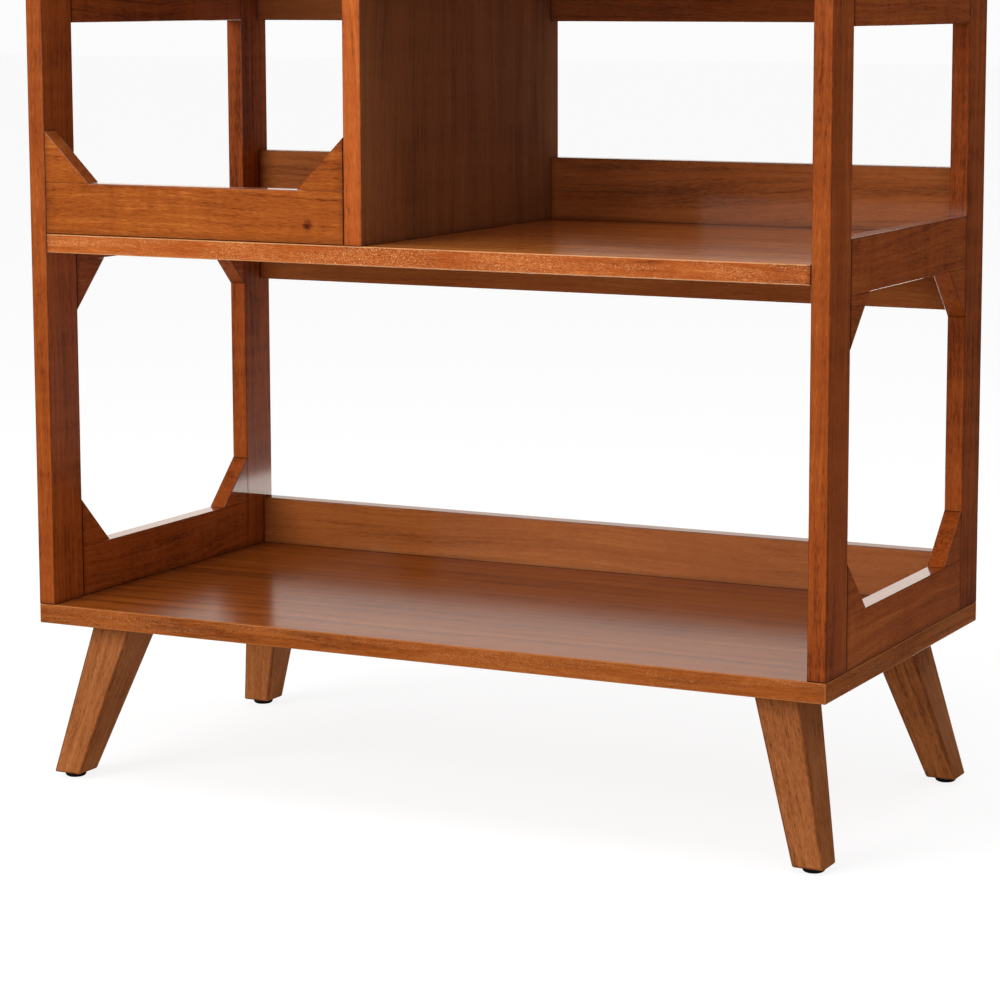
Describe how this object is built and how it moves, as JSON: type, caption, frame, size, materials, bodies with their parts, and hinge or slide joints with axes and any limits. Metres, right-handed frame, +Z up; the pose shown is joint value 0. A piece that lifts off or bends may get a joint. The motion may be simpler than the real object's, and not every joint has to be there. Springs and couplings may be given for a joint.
{
  "type": "record storage stand",
  "caption": "Open wooden stand for records and audio gear, with a full-width lower bay, a silled record bin, side bays, windowed side frames and splayed tapered legs.",
  "frame": {"origin": "on the floor, under the middle of the footprint", "axes": "+Z up; +Y from the front to the back, so the front faces -Y; +X to the right as seen from the front"},
  "size_m": [0.83, 0.412, 0.94],
  "materials": {
    "frame_wood": "reddish-brown stained hardwood under satin lacquer",
    "board_wood": "orange-brown stained veneer and lippings under gloss lacquer",
    "leg_wood": "brown stained solid hardwood under satin lacquer",
    "glide_plastic": "black, smooth",
    "zinc_steel": "bright zinc plate",
    "cam_metal": "die-cast, dull"
  },
  "bodies": {
    "root": {"bottom_board": "board_wood", "middle_shelf": "board_wood", "top_board": "board_wood", "centre_divider": "frame_wood", "cubby_shelf": "board_wood", "left_front_stile": "frame_wood", "left_rear_stile": "frame_wood", "left_bottom_rail": "frame_wood", "left_middle_rail": "frame_wood", "left_upper_rail": "frame_wood", "left_block_front_low": "frame_wood", "left_block_front_high": "frame_wood", "left_block_rear_low": "frame_wood", "left_block_rear_high": "frame_wood", "right_front_stile": "frame_wood", "right_rear_stile": "frame_wood", "right_bottom_rail": "frame_wood", "right_middle_rail": "frame_wood", "right_upper_rail": "frame_wood", "right_block_front_low": "frame_wood", "right_block_front_high": "frame_wood", "right_block_rear_low": "frame_wood", "right_block_rear_high": "frame_wood", "bin_sill": "board_wood", "bin_block_left_low": "board_wood", "bin_block_right_low": "board_wood", "bin_block_left_high": "board_wood", "bin_block_right_high": "board_wood", "back_rail_bottom": "frame_wood", "back_rail_under_shelf": "frame_wood", "back_rail_bin": "frame_wood", "back_rail_bay": "frame_wood", "upper_back_rail_bin": "frame_wood", "upper_back_rail_bay": "frame_wood", "leg_front_left": "leg_wood", "leg_front_right": "leg_wood", "leg_rear_left": "leg_wood", "leg_rear_right": "leg_wood", "glide_front_left": "glide_plastic", "glide_front_right": "glide_plastic", "glide_rear_left": "glide_plastic", "glide_rear_right": "glide_plastic", "hanger_bolt_front_left": "zinc_steel", "hanger_bolt_front_right": "zinc_steel", "hanger_bolt_rear_left": "zinc_steel", "hanger_bolt_rear_right": "zinc_steel", "insert_nut_front_left": "zinc_steel", "insert_nut_front_right": "zinc_steel", "insert_nut_rear_left": "zinc_steel", "insert_nut_rear_right": "zinc_steel", "left_cam_bolt_front": "zinc_steel", "left_cam_bolt_rear": "zinc_steel", "right_cam_bolt_front": "zinc_steel", "right_cam_bolt_rear": "zinc_steel", "left_cam_lock_front": "cam_metal", "left_cam_lock_rear": "cam_metal", "right_cam_lock_front": "cam_metal", "right_cam_lock_rear": "cam_metal"}
  },
  "joints": []
}
